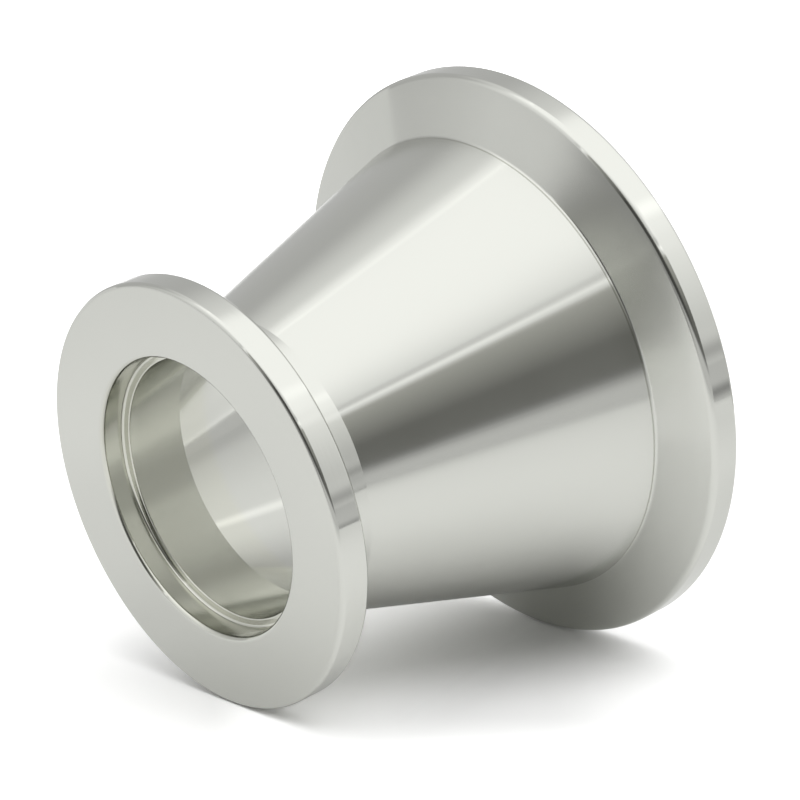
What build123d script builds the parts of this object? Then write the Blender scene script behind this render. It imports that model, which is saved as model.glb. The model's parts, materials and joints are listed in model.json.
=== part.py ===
from build123d import *
from math import radians, tan
import os

os.makedirs("parts", exist_ok=True)

# Overall size, in millimetres, with the bore axis along Z and the large face at Z = 0
length = 40.0

# Flange rims
small_rim_diameter = 40.0
large_rim_diameter = 55.0
rim_width = 2.9
clamp_taper_angle = 20.5
rim_front_round = 0.45
small_rim_back_round = 0.45
large_rim_back_round = 0.7

# Recesses that take the centring rings
small_recess_diameter = 26.2
large_recess_diameter = 41.2
recess_depth = 2.45
mouth_round = 0.45
recess_corner_round = 0.3

# Straight necks between the clamp tapers and the cone, and the bore at each end
small_neck_diameter = 28.4
large_neck_diameter = 44.2
small_neck_land = 3.23
large_neck_land = 0.33
neck_fillet = 0.25
small_bore_diameter = 24.5
large_bore_diameter = 40.0
bore_edge_round = 0.15

# Half sizes used by the section
small_rim = small_rim_diameter / 2
large_rim = large_rim_diameter / 2
small_recess = small_recess_diameter / 2
large_recess = large_recess_diameter / 2
small_neck = small_neck_diameter / 2
large_neck = large_neck_diameter / 2
small_bore = small_bore_diameter / 2
large_bore = large_bore_diameter / 2

# Heights where each neck meets its clamp taper, and where the inner and outer cones begin and end
taper_slope = tan(radians(clamp_taper_angle))
large_neck_start = rim_width + (large_rim - large_neck) * taper_slope
small_neck_start = length - rim_width - (small_rim - small_neck) * taper_slope
cone_bottom = large_neck_start + large_neck_land
cone_top = small_neck_start - small_neck_land


def corners(sketch, points):
    """The sketch corners that lie nearest the given radius and height pairs."""
    found = []
    for radius, height in points:
        found.append(sketch.vertices().sort_by_distance((radius, height, 0))[0])
    return found


# One turned piece: half its section, rounded at the corners, swept round the bore axis
with BuildPart() as reducer_body:
    with BuildSketch(Plane.XZ) as section:
        with BuildLine():
            Polyline(
                (large_recess, 0),
                (large_rim, 0),
                (large_rim, rim_width),
                (large_neck, large_neck_start),
                (large_neck, cone_bottom),
                (small_neck, cone_top),
                (small_neck, small_neck_start),
                (small_rim, length - rim_width),
                (small_rim, length),
                (small_recess, length),
                (small_recess, length - recess_depth),
                (small_bore, length - recess_depth),
                (small_bore, cone_top),
                (large_bore, cone_bottom),
                (large_bore, recess_depth),
                (large_recess, recess_depth),
                close=True,
            )
        make_face()
        rim_fronts = corners(section, [(large_rim, 0), (small_rim, length)])
        fillet(rim_fronts, rim_front_round)
        large_rim_back = corners(section, [(large_rim, rim_width)])
        fillet(large_rim_back, large_rim_back_round)
        small_rim_back = corners(section, [(small_rim, length - rim_width)])
        fillet(small_rim_back, small_rim_back_round)
        neck_starts = corners(section, [(large_neck, large_neck_start), (small_neck, small_neck_start)])
        fillet(neck_starts, neck_fillet)
        mouths = corners(section, [(large_recess, 0), (small_recess, length)])
        fillet(mouths, mouth_round)
        recess_floors = [(large_recess, recess_depth), (small_recess, length - recess_depth)]
        fillet(corners(section, recess_floors), recess_corner_round)
        bore_edges = [(large_bore, recess_depth), (small_bore, length - recess_depth)]
        fillet(corners(section, bore_edges), bore_edge_round)
    revolve(axis=Axis.Z)

reducer_body.part.label = "reducer_body"
export_step(reducer_body.part, "parts/reducer_body.step")
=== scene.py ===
import json
from math import atan2, ceil, cos, pi, radians, sin, tan
from types import SimpleNamespace

import bpy
from mathutils import Matrix, Vector


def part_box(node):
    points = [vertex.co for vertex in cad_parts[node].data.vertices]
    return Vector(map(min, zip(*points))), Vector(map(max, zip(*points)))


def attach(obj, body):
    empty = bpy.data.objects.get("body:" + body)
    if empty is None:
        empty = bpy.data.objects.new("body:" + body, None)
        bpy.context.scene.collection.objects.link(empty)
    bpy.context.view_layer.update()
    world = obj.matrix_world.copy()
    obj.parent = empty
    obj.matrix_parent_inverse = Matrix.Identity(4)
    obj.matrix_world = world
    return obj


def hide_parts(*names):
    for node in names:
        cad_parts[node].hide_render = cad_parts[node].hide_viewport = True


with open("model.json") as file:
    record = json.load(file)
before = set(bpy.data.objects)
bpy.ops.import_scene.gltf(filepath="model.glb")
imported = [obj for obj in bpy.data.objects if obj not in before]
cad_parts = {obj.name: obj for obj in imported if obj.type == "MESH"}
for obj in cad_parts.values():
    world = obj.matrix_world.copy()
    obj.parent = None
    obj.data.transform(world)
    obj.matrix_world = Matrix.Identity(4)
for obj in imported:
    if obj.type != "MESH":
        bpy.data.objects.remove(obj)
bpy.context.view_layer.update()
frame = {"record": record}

# Sizes of the part, in metres. Those that the frame's record holds are read from it
millimetre = 0.001
mounts = {mount["name"]: mount for mount in frame["record"]["mounts"]}
_, body_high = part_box("reducer_body")
length = body_high.z


def mount_radius(name):
    """The radius of one of the record's mounts, in metres."""
    return mounts[name]["dims"]["r_mm"] * millimetre


large_rim = mount_radius("large_rim")
small_rim = mount_radius("small_rim")
large_recess = mount_radius("large_recess")
small_recess = mount_radius("small_recess")
large_bore = mount_radius("large_passage")
small_bore = mount_radius("small_passage")
rim_width = 2.9 * millimetre
recess_depth = 2.45 * millimetre
large_neck = 22.1 * millimetre
small_neck = 14.2 * millimetre
large_neck_land = 0.33 * millimetre
small_neck_land = 3.23 * millimetre
clamp_taper_angle = radians(20.5)

# Heights where each neck meets its clamp taper, and where the cones begin and end
taper_slope = tan(clamp_taper_angle)
large_neck_start = rim_width + (large_rim - large_neck) * taper_slope
small_neck_start = length - rim_width - (small_rim - small_neck) * taper_slope
cone_bottom = large_neck_start + large_neck_land
cone_top = small_neck_start - small_neck_land

# Corner rounds
rim_front_round = 0.45 * millimetre
small_rim_back_round = 0.45 * millimetre
large_rim_back_round = 0.7 * millimetre
neck_fillet = 0.25 * millimetre
mouth_round = 0.45 * millimetre
recess_corner_round = 0.3 * millimetre
bore_edge_round = 0.15 * millimetre

# How finely the turned body is cut: steps round the axis, and the largest turn of one strip of a round
steps_round_axis = 240
largest_strip_turn = radians(9)

# In the photograph the part lies on its two rims, so its axis leans from the table by this angle
lean = atan2(large_rim - small_rim, length - rim_width)
axis = Vector((0, 0, 1))
down = Vector((-0.3, 0.954, 0)).normalized()
table_up = -(cos(lean) * down + sin(lean) * axis)

# The camera: its place and the point at the picture's centre, solved from the photograph's edges
camera_place = Vector((-0.20949, -0.19618, 0.21466))
camera_target = Vector((-0.00124, -0.00171, 0.01701))
focal_length_pixels = 3828.4
picture_width_pixels = 800
sensor_width = 36.0
nearest_seen = 0.01
farthest_seen = 20.0

# The table's own directions: right and back as the camera sees them, and its middle under the part
view_line = (camera_target - camera_place).normalized()
table_right = view_line.cross(table_up).normalized()
table_back = table_up.cross(table_right)
axis_middle = axis * length / 2
rim_contact = axis * length + down * small_rim
middle_height = (axis_middle - rim_contact).dot(table_up)
table_middle = axis_middle - table_up * middle_height

# Directions square to the axis, from which turns about it are counted
camera_up = table_right.cross(view_line)
turns_counted_from = radians(120)
ring_start = Matrix.Rotation(turns_counted_from, 3, -axis) @ axis.cross(camera_up).normalized()
ring_side = ring_start.cross(axis)

# The lean of the outer cone's surface towards the small end
cone_tilt = radians(16.6)

# The white sheet's corners on the table, right and back of its middle. The near right one is cut off.
# The other value is the white that the camera sees away from the shadow
sheet_corners = [
    (-0.45, -0.095),
    (0.080, -0.095),
    (0.165, -0.022),
    (0.138, 0.050),
    (0.150, 0.9),
    (-0.45, 0.9),
]
seen_white = 1.12

# The broad lamp that lights the sheet: how strong and how wide it is, and how it leans
lamp_energy = 0.95
lamp_angle = radians(45)
lamp_forward = 0.42
lamp_right = 0.1

# The steel's colour, which clouds vary a little, and a warmer colour painted into the bore for the tint
# that light takes on there
darker_steel = (0.604, 0.611, 0.572, 1.0)
lighter_steel = (0.620, 0.627, 0.588, 1.0)
bore_painted_warm_light = (0.612, 0.617, 0.556, 1.0)

# The marks of turning: how many to a metre, how far they reach round the axis, and how deep they are
marks_per_metre = 3500.0
marks_round_axis = 1.5
marks_depth = 1.2e-6
marks_on_flanges = 0.6
marks_on_cone = 1.8
cloud_scale = 90.0

# The light of the opening on the camera's side is a little warm, and all other light is plain
plain_light = (1.0, 1.0, 1.0, 1.0)
warm_light = (1.0, 1.0, 0.95, 1.0)

# Pairs of levels for a ramp that rises or fades
rising = (0.0, 1.0)
fading = (1.0, 0.0)


def angles(first, second):
    """Two angles given in degrees, as the shader counts them."""
    return radians(first), radians(second)


class Tree:
    """Adds shader nodes to one node tree. An input is a number, a colour or another node's output."""

    def __init__(self, owner):
        owner.use_nodes = True
        self.tree = owner.node_tree
        self.tree.nodes.clear()

    def node(self, kind, inputs=None, **settings):
        made = self.tree.nodes.new(kind)
        for name, value in settings.items():
            setattr(made, name, value)
        for name, value in (inputs or {}).items():
            self.feed(made.inputs[name], value)
        return made

    def feed(self, socket, value):
        if isinstance(value, bpy.types.NodeSocket):
            self.tree.links.new(value, socket)
        else:
            socket.default_value = value

    def math(self, operation, first, second=0.0):
        return self.node("ShaderNodeMath", {0: first, 1: second}, operation=operation).outputs[0]

    def add(self, first, second):
        return self.math("ADD", first, second)

    def subtract(self, first, second):
        return self.math("SUBTRACT", first, second)

    def product(self, *factors):
        result = factors[0]
        for factor in factors[1:]:
            result = self.math("MULTIPLY", result, factor)
        return result

    def vector(self, across, along, up=0.0):
        return self.node("ShaderNodeCombineXYZ", {0: across, 1: along, 2: up}).outputs[0]

    def sum(self, first, second):
        """The sum of two vectors."""
        return self.node("ShaderNodeVectorMath", {0: first, 1: second}).outputs[0]

    def dot(self, vector, direction):
        made = self.node("ShaderNodeVectorMath", {0: vector, 1: direction}, operation="DOT_PRODUCT")
        return made.outputs["Value"]

    def length(self, vector):
        return self.node("ShaderNodeVectorMath", {0: vector}, operation="LENGTH").outputs["Value"]

    def noise(self, place, scale, detail):
        inputs = {"Vector": place, "Scale": scale, "Detail": detail}
        return self.node("ShaderNodeTexNoise", inputs).outputs[0]

    def ramp(self, value, between, levels=rising, shape="SMOOTHSTEP"):
        """Goes from one level to the other as value goes between two numbers, with eased ends."""
        start, end = between
        low, high = levels
        inputs = {"Value": value, "From Min": start, "From Max": end, "To Min": low, "To Max": high}
        return self.node("ShaderNodeMapRange", inputs, interpolation_type=shape).outputs[0]

    def slope(self, value, between, levels=rising):
        """The same as a ramp, but straight."""
        return self.ramp(value, between, levels, "LINEAR")

    def bump(self, value, middle, width, height=1.0):
        """A narrow bump of the given height where value is near its middle."""
        away = self.math("ABSOLUTE", self.subtract(value, middle))
        return self.ramp(away, between=(0.0, width), levels=(height, 0.0))

    def blend(self, share, first, second):
        """A number that goes from first to second as share goes from 0 to 1."""
        made = self.node("ShaderNodeMix", {"Factor": share, 2: first, 3: second}, data_type="FLOAT")
        return made.outputs[0]

    def tint(self, share, first, second):
        """A colour that goes from first to second as share goes from 0 to 1."""
        made = self.node("ShaderNodeMix", {"Factor": share, 6: first, 7: second}, data_type="RGBA")
        return made.outputs[2]


def photo_camera():
    """The camera of the photograph."""
    data = bpy.data.cameras.new("camera")
    data.sensor_width = sensor_width
    data.lens = focal_length_pixels * sensor_width / picture_width_pixels
    data.clip_start = nearest_seen
    data.clip_end = farthest_seen
    camera = bpy.data.objects.new("camera", data)
    axes = Matrix((table_right, camera_up, -view_line)).transposed()
    camera.matrix_world = Matrix.Translation(camera_place) @ axes.to_4x4()
    bpy.context.scene.collection.objects.link(camera)
    bpy.context.scene.camera = camera


def ray_angles(tree):
    """Where a ray of the world goes, against the table and against the part.

    Rise is how steeply it goes up. Turn is 0 on the camera's side and grows to the right. Plane_across
    and plane_back are where it meets a plane one unit up. Around and tilt say which side of the part
    mirrors it to the camera: that side's turn about the axis from ring_start, and its lean towards the
    small end.
    """
    direction = tree.node("ShaderNodeTexCoord").outputs["Generated"]
    across = tree.dot(direction, table_right)
    back = tree.dot(direction, table_back)
    rise = tree.dot(direction, table_up)
    lowest_rise = 0.02
    above = tree.math("MAXIMUM", rise, lowest_rise)
    halfway = tree.sum(direction, -view_line)
    ring_across = tree.dot(halfway, ring_start)
    ring_along = tree.dot(halfway, ring_side)
    outward = tree.length(tree.vector(ring_across, ring_along))
    return SimpleNamespace(
        rise=rise,
        turn=tree.math("ARCTAN2", across, tree.product(back, -1.0)),
        plane_across=tree.math("DIVIDE", across, above),
        plane_back=tree.math("DIVIDE", back, above),
        around=tree.math("ARCTAN2", ring_along, ring_across),
        tilt=tree.math("ARCTAN2", tree.dot(halfway, axis), outward),
    )


def wall_level(tree, ray):
    """The tent's walls at the back, the left and the right. Each brightens upwards."""
    back = tree.ramp(ray.rise, between=(0.60, 0.92), levels=(0.60, 1.00))
    left = tree.slope(ray.rise, between=(0.0, 1.0), levels=(0.82, 1.30))
    right_foot = tree.slope(ray.rise, between=(0.045, 0.16), levels=(0.62, 0.86))
    right_rest = tree.slope(ray.rise, between=(0.17, 0.69), levels=(0.0, 0.50))
    right = tree.add(right_foot, right_rest)
    on_left = tree.slope(ray.turn, between=angles(-115, -88))
    left_half = tree.ramp(ray.turn, between=(0.0, 0.1), levels=fading)
    on_right = tree.slope(ray.turn, between=angles(93, 157), levels=fading)
    right_half = tree.ramp(ray.turn, between=(-0.1, 0.0))
    left_and_back = tree.blend(tree.product(on_left, left_half), back, left)
    return tree.blend(tree.product(on_right, right_half), left_and_back, right)


def with_overhead_light(tree, ray, walls):
    """The walls with the large overhead light, which dims towards the camera and ends at a slant."""
    slant = 0.43
    slanted_back = tree.subtract(ray.plane_back, tree.product(ray.plane_across, slant))
    share = tree.product(
        tree.ramp(ray.plane_across, between=(0.80, 1.20), levels=fading),
        tree.ramp(ray.plane_across, between=(-1.10, -0.35)),
        tree.ramp(slanted_back, between=(0.36, 0.54), levels=fading),
        tree.ramp(ray.plane_back, between=(0.50, 0.66), levels=fading),
    )
    panel = tree.ramp(ray.plane_back, between=(-1.15, -0.5), levels=(0.95, 1.44))
    return tree.blend(share, walls, panel)


def with_thin_lights(tree, ray, near_rims, lit):
    """The studio with its thin bright and dark lines, and with light at the foot of the walls."""
    near_cone = tree.bump(ray.tilt, middle=cone_tilt, width=radians(16))
    near_inner_cone = tree.product(
        tree.ramp(ray.tilt, between=angles(-34, -22)),
        tree.ramp(ray.tilt, between=angles(-9, 7), levels=fading),
    )
    near_bore = tree.ramp(ray.tilt, between=angles(-24, -17), levels=fading)
    back_line = tree.bump(ray.around, middle=radians(-0.4), width=radians(1.0), height=0.17)
    side_line = tree.bump(ray.around, middle=radians(31.1), width=radians(2.8), height=0.38)
    side_dark = tree.bump(ray.around, middle=radians(60.2), width=radians(2.6), height=-0.26)
    rim_foot = tree.ramp(ray.rise, between=(0.0, 0.25), levels=(0.20, 0.0))
    bore_foot = tree.ramp(ray.rise, between=(0.0, 0.28), levels=(0.48, 0.16))
    lines = (
        (near_cone, back_line),
        (near_inner_cone, side_line),
        (near_rims, side_dark),
        (near_rims, rim_foot),
        (near_bore, bore_foot),
    )
    for where, light in lines:
        lit = tree.add(lit, tree.product(where, light))
    return lit


def with_opening(tree, ray, lit):
    """The studio with its dark opening on the camera's side, and the opening's share of each ray.

    The opening has a crisp upper edge, with a bright line above it and a faint dark one above that.
    """
    top = tree.ramp(ray.tilt, between=angles(26, 44), levels=angles(40.5, 16))
    beyond = tree.subtract(ray.around, top)
    open_right = tree.ramp(ray.turn, between=angles(64, 69), levels=fading)
    open_left = tree.ramp(ray.turn, between=angles(-68, -57))
    open_width = tree.product(open_right, open_left)
    opening = tree.product(open_width, tree.ramp(beyond, between=angles(-0.5, 0.5)))
    edge_level = 0.52
    core_level = tree.ramp(ray.tilt, between=angles(22, 38), levels=(0.18, 0.075))
    dark = tree.blend(tree.slope(beyond, between=angles(0, 12)), edge_level, core_level)
    bright_line = tree.bump(beyond, middle=radians(-1.5), width=radians(0.9), height=0.40)
    dark_line = tree.bump(beyond, middle=radians(-3.0), width=radians(1.6), height=0.23)
    edge = tree.product(tree.subtract(bright_line, dark_line), open_width)
    return tree.blend(opening, tree.add(lit, edge), dark), opening


def with_low_left(tree, ray, upper):
    """The studio with a pale sweep low on the left at the back, and a dark foot at the left in front."""
    sweep_level = 0.87
    sweep = tree.product(
        tree.ramp(ray.around, between=angles(-40.6, -39.4), levels=fading),
        tree.ramp(ray.tilt, between=angles(40, 52)),
        tree.ramp(ray.rise, between=(0.1, 0.4), levels=fading),
    )
    foot_level = 0.37
    foot = tree.product(
        tree.ramp(ray.turn, between=angles(-79, -68.5)),
        tree.ramp(ray.turn, between=angles(-40, -30), levels=fading),
        tree.ramp(ray.rise, between=(0.02, 0.10), levels=fading),
    )
    return tree.blend(foot, tree.blend(sweep, upper, sweep_level), foot_level)


def table_level(tree, ray, near_rims):
    """The table top beyond the white sheet, which is darkest in front near the horizon."""
    front_right = tree.slope(ray.rise, between=(-0.12, -0.015), levels=(0.72, 0.17))
    front_left = tree.ramp(ray.turn, between=angles(-79, -68.5), levels=(0.85, 0.35))
    front = tree.blend(tree.ramp(ray.turn, between=angles(-40, -10)), front_left, front_right)
    right_level = 0.70
    shadow = tree.bump(ray.around, middle=radians(68.3), width=radians(2.0), height=0.42)
    right = tree.subtract(right_level, tree.product(near_rims, shadow))
    return tree.blend(tree.ramp(ray.turn, between=angles(60, 75)), front, right)


def studio_world():
    """The soft studio: a grey tent, a large overhead light, a dark opening on the camera's side."""
    world = bpy.data.worlds.new("studio")
    tree = Tree(world)
    ray = ray_angles(tree)
    near_rims = tree.bump(ray.tilt, middle=0.0, width=radians(12))
    lit = with_overhead_light(tree, ray, wall_level(tree, ray))
    lit = with_thin_lights(tree, ray, near_rims, lit)
    upper, opening = with_opening(tree, ray, lit)
    upper = with_low_left(tree, ray, upper)
    below = tree.ramp(ray.rise, between=(-0.02, -0.005), levels=fading)
    level = tree.blend(below, upper, table_level(tree, ray, near_rims))

    # The camera sees plain white behind the part
    camera_ray = tree.node("ShaderNodeLightPath").outputs["Is Camera Ray"]
    background_white = 1.0
    strength = tree.blend(camera_ray, level, background_white)
    not_below = tree.ramp(below, between=(0.0, 1.0), levels=fading)
    not_camera = tree.ramp(camera_ray, between=(0.0, 1.0), levels=fading)
    warm = tree.product(opening, not_below, not_camera)
    colour = tree.tint(warm, plain_light, warm_light)
    background = tree.node("ShaderNodeBackground", {"Color": colour, "Strength": strength})
    tree.node("ShaderNodeOutputWorld", {"Surface": background.outputs[0]})
    bpy.context.scene.world = world


def mirrored_white_painted_light(tree, offset, across, back):
    """The sheet's white as the metal mirrors it.

    It is painted palest near the part and at the back on the right, greyest at its near edge, and a
    little darker next to the large rim and the small flange: painted light and painted shadow on the
    paper.
    """
    # Painted light and shade: paler near the part and at the back on the right, greyer at the near edge
    # and at the back on the left
    painted_falloff_light = tree.slope(tree.length(offset), between=(0.03, 0.11), levels=(0.88, 0.735))
    painted_near_edge_shade = tree.ramp(back, between=(-0.095, -0.055), levels=(0.72, 1.0))
    painted_back_right_light = tree.ramp(tree.add(back, across), between=(0.11, 0.26), levels=(1.0, 1.5))
    painted_back_left_shade = tree.ramp(tree.subtract(back, across), between=(0.08, 0.25), levels=(1.0, 0.925))
    # Painted shadows on the paper next to the large flange's rim and next to the small flange
    painted_shadow_by_rim = tree.product(
        tree.ramp(across, between=(0.022, 0.032)),
        tree.ramp(across, between=(0.060, 0.080), levels=fading),
        tree.ramp(back, between=(-0.006, 0.004)),
        tree.ramp(back, between=(0.016, 0.028), levels=fading),
    )
    painted_shadow_by_flange = tree.product(
        tree.ramp(across, between=(-0.080, -0.042)),
        tree.ramp(across, between=(-0.034, -0.020), levels=fading),
        tree.ramp(back, between=(-0.020, 0.004)),
    )
    painted_shadow_next_to_flanges = tree.ramp(tree.add(painted_shadow_by_rim, painted_shadow_by_flange), between=(0.0, 1.0), levels=(1.0, 0.91))
    return tree.product(painted_falloff_light, painted_near_edge_shade, painted_back_right_light, painted_back_left_shade, painted_shadow_next_to_flanges)


def direct_white_painted_shade(tree, across, back):
    """The sheet's white as the camera sees it.

    The part's shadow is painted into it: paler by the small flange and deeper in front of the large one.
    """
    # Painted shadow: the camera's white is raised by the small flange and lowered in front of the large
    # one
    slant = 0.45
    slanted = tree.subtract(across, tree.product(back, slant))
    shade = tree.ramp(slanted, between=(-0.007, 0.015), levels=(1.66, 0.87))
    shaded = tree.product(
        tree.ramp(across, between=(-0.014, -0.007)),
        tree.ramp(across, between=(0.016, 0.029), levels=fading),
        tree.ramp(back, between=(-0.026, -0.013)),
    )
    return tree.blend(shaded, seen_white, shade)


def sheet_material():
    """White paper whose colour carries painted light and shade, which can't be seen from below."""
    material = bpy.data.materials.new("white_sheet")
    tree = Tree(material)
    camera_ray = tree.node("ShaderNodeLightPath").outputs["Is Camera Ray"]
    surface = tree.node("ShaderNodeNewGeometry").outputs
    offset = tree.sum(surface["Position"], -table_middle)
    across = tree.dot(offset, table_right)
    back = tree.dot(offset, table_back)
    mirrored = mirrored_white_painted_light(tree, offset, across, back)
    # The paper's white holds painted light and shade: one set for the camera's rays, another for all
    # other rays
    white = tree.blend(camera_ray, mirrored, direct_white_painted_shade(tree, across, back))
    paper = tree.node("ShaderNodeBsdfDiffuse", {"Color": white}).outputs[0]
    clear = tree.node("ShaderNodeBsdfTransparent").outputs[0]
    shown = tree.node("ShaderNodeMixShader", {0: surface["Backfacing"], 1: paper, 2: clear})
    tree.node("ShaderNodeOutputMaterial", {"Surface": shown.outputs[0]})
    return material


def white_sheet():
    """The white sheet that the part lies on in the photograph."""
    on_table = Matrix((table_right, table_back, table_up)).transposed().to_4x4()
    on_table.translation = table_middle
    points = [on_table @ Vector((across, back, 0)) for across, back in sheet_corners]
    mesh = bpy.data.meshes.new("sheet")
    mesh.from_pydata(points, [], [list(range(len(points)))])
    mesh.materials.append(sheet_material())
    sheet = bpy.data.objects.new("sheet", mesh)
    bpy.context.scene.collection.objects.link(sheet)


def sheet_light():
    """A broad lamp that makes the part's shadow on the sheet as deep as in the photograph.

    The metal doesn't mirror it.
    """
    data = bpy.data.lights.new("sheet_light", "SUN")
    data.energy = lamp_energy
    data.angle = lamp_angle
    lamp = bpy.data.objects.new("sheet_light", data)
    bpy.context.scene.collection.objects.link(lamp)
    toward = (table_up - table_back * lamp_forward + table_right * lamp_right).normalized()
    lamp.rotation_euler = toward.to_track_quat("Z", "Y").to_euler()
    lamp.visible_glossy = False


def turned_steel():
    """Finely turned steel, whose marks run round the axis and stretch each reflection across them."""
    material = bpy.data.materials.new("turned_steel")
    tree = Tree(material)
    place = tree.node("ShaderNodeTexCoord").outputs["Object"]
    parts = tree.node("ShaderNodeSeparateXYZ", {0: place}).outputs
    radius = tree.length(tree.vector(parts[0], parts[1]))
    turn = tree.math("ARCTAN2", parts[1], parts[0])

    # Fine marks: noise that changes quickly along the axis or the radius, and slowly round it
    along = tree.product(parts[2], marks_per_metre)
    outward = tree.product(radius, marks_per_metre / 2)
    slow_turn = tree.product(turn, marks_round_axis)
    marks = tree.noise(tree.vector(outward, along, slow_turn), scale=1.0, detail=2.0)
    on_cone = tree.ramp(parts[2], between=(large_neck_start, cone_bottom + millimetre))
    share = tree.ramp(on_cone, between=(0.0, 1.0), levels=(marks_on_flanges, marks_on_cone))
    height = tree.product(marks, share)
    grooves = tree.node("ShaderNodeBump", {"Height": height, "Strength": 1.0, "Distance": marks_depth})

    # Faint cloudiness in the finish. The rims and the faces are smoother than the rest
    clouds = tree.noise(place, scale=cloud_scale, detail=3.0)
    from_middle = tree.math("ABSOLUTE", tree.subtract(parts[2], length / 2))
    rim_start = length / 2 - rim_width
    on_rim = tree.ramp(from_middle, between=(rim_start - rim_width * 0.3, rim_start))
    plain_finish = tree.ramp(clouds, between=(0.3, 0.7), levels=(0.15, 0.18))
    rim_finish = tree.ramp(clouds, between=(0.3, 0.7), levels=(0.10, 0.12))
    # Painted light: nearer the axis than the small recess's wall the steel takes the warmer colour, for
    # the tint of the light inside the bore
    in_bore = tree.ramp(radius, between=(small_recess, small_recess + mouth_round), levels=fading)

    steel = tree.node(
        "ShaderNodeBsdfPrincipled",
        {
            "Base Color": tree.tint(in_bore, tree.tint(clouds, darker_steel, lighter_steel), bore_painted_warm_light),
            "Metallic": 1.0,
            "Roughness": tree.blend(on_rim, plain_finish, rim_finish),
            "Anisotropic": 1.0,
            "Anisotropic Rotation": 0.25,
            "Tangent": tree.node("ShaderNodeTangent", direction_type="RADIAL", axis="Z").outputs[0],
            "Normal": grooves.outputs[0],
        },
    )
    tree.node("ShaderNodeOutputMaterial", {"Surface": steel.outputs[0]})
    return material


def section_corners():
    """The turned section's corners in order, each with its radius, its height and its round."""
    return [
        (large_recess, 0.0, mouth_round),
        (large_rim, 0.0, rim_front_round),
        (large_rim, rim_width, large_rim_back_round),
        (large_neck, large_neck_start, neck_fillet),
        (large_neck, cone_bottom, 0.0),
        (small_neck, cone_top, 0.0),
        (small_neck, small_neck_start, neck_fillet),
        (small_rim, length - rim_width, small_rim_back_round),
        (small_rim, length, rim_front_round),
        (small_recess, length, mouth_round),
        (small_recess, length - recess_depth, recess_corner_round),
        (small_bore, length - recess_depth, bore_edge_round),
        (small_bore, cone_top, 0.0),
        (large_bore, cone_bottom, 0.0),
        (large_bore, recess_depth, bore_edge_round),
        (large_recess, recess_depth, recess_corner_round),
    ]


def rounded_corner(before, here, after, round_size):
    """The ends of the strips of one rounded corner, each with its place and its exact normal."""
    arriving = (here - before).normalized()
    leaving = (after - here).normalized()
    bend = atan2(arriving.x * leaving.y - arriving.y * leaving.x, arriving.dot(leaving))
    side = 1.0 if bend > 0 else -1.0
    outward = Vector((arriving.y, -arriving.x))
    start = here - arriving * round_size * tan(abs(bend) / 2)
    centre = start - outward * side * round_size
    count = max(1, ceil(abs(bend) / largest_strip_turn)) if round_size else 1
    ends = []
    for number in range(count + 1):
        angle = bend * number / count
        normal = Vector((
            outward.x * cos(angle) - outward.y * sin(angle),
            outward.x * sin(angle) + outward.y * cos(angle),
        ))
        ends.append((centre + normal * side * round_size, normal))
    return ends


def section_strips():
    """The section's strips in order. Each has two ends, and each end a place and its exact normal."""
    corners = section_corners()
    places = [Vector((radius, height)) for radius, height, _ in corners]
    arcs = []
    for index, (_, _, round_size) in enumerate(corners):
        after = places[(index + 1) % len(places)]
        arcs.append(rounded_corner(places[index - 1], places[index], after, round_size))

    strips = []
    for index, arc in enumerate(arcs):
        _, _, round_size = corners[index]
        if round_size:
            strips += list(zip(arc[:-1], arc[1:]))
        strips.append((arc[-1], arcs[(index + 1) % len(arcs)][0]))
    return strips


def swung(flat, turn):
    """A place or a normal of the section, swung round the axis by this many steps."""
    angle = 2 * pi * turn / steps_round_axis
    return flat.x * cos(angle), flat.x * sin(angle), flat.y


def turned_body():
    """The body turned again from the same section.

    Each face carries the section's exact normals, so that reflections run smoothly over the small rounds.
    """
    strips = section_strips()
    places, faces, normals = [], [], []
    for (place, _), _ in strips:
        for turn in range(steps_round_axis):
            places.append(swung(place, turn))
    for row, ((_, start_normal), (_, end_normal)) in enumerate(strips):
        here = row * steps_round_axis
        above = (row + 1) % len(strips) * steps_round_axis
        for turn in range(steps_round_axis):
            following = (turn + 1) % steps_round_axis
            faces.append((here + turn, here + following, above + following, above + turn))
            normals.append(swung(start_normal, turn))
            normals.append(swung(start_normal, following))
            normals.append(swung(end_normal, following))
            normals.append(swung(end_normal, turn))
    mesh = bpy.data.meshes.new("turned_body")
    mesh.from_pydata(places, [], faces)
    mesh.shade_smooth()
    mesh.normals_split_custom_set(normals)
    mesh.materials.append(turned_steel())
    turned = bpy.data.objects.new("turned_body", mesh)
    bpy.context.scene.collection.objects.link(turned)
    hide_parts("reducer_body")
    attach(turned, "root")


photo_camera()
studio_world()
white_sheet()
sheet_light()
turned_body()

bpy.context.scene.view_settings.view_transform = "Standard"
